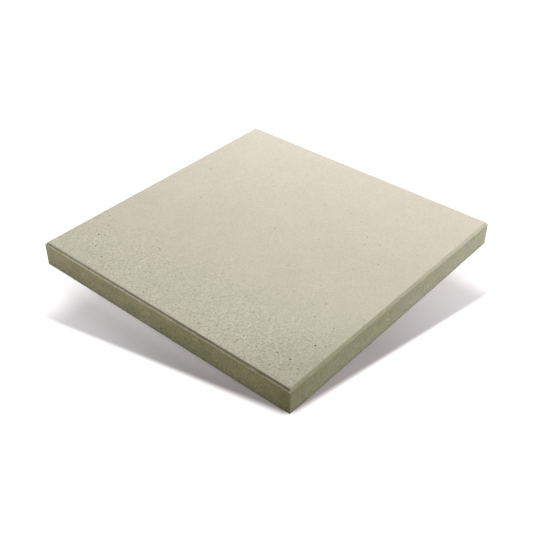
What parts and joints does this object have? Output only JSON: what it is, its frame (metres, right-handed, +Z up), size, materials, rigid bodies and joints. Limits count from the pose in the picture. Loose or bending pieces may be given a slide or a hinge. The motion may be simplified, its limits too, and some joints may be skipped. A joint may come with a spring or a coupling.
{
  "type": "concrete paving slab",
  "caption": "Square flat paving slab with a smooth raised wearing face, steep arrised edges above a narrow ledge, and square vertical sides.",
  "frame": {"origin": "centre of the bed face, the flat underside that the slab lies on", "axes": "+Z up through the thickness, out of the wearing face; X and Y square to the sides"},
  "size_m": [0.45, 0.45, 0.038],
  "materials": {
    "pressed_concrete": "matt, fine sandy pressed concrete, warm beige grey on the wearing face and olive grey on the sides, with small open pores"
  },
  "bodies": {
    "root": {"paving_slab": "pressed_concrete"}
  },
  "joints": []
}
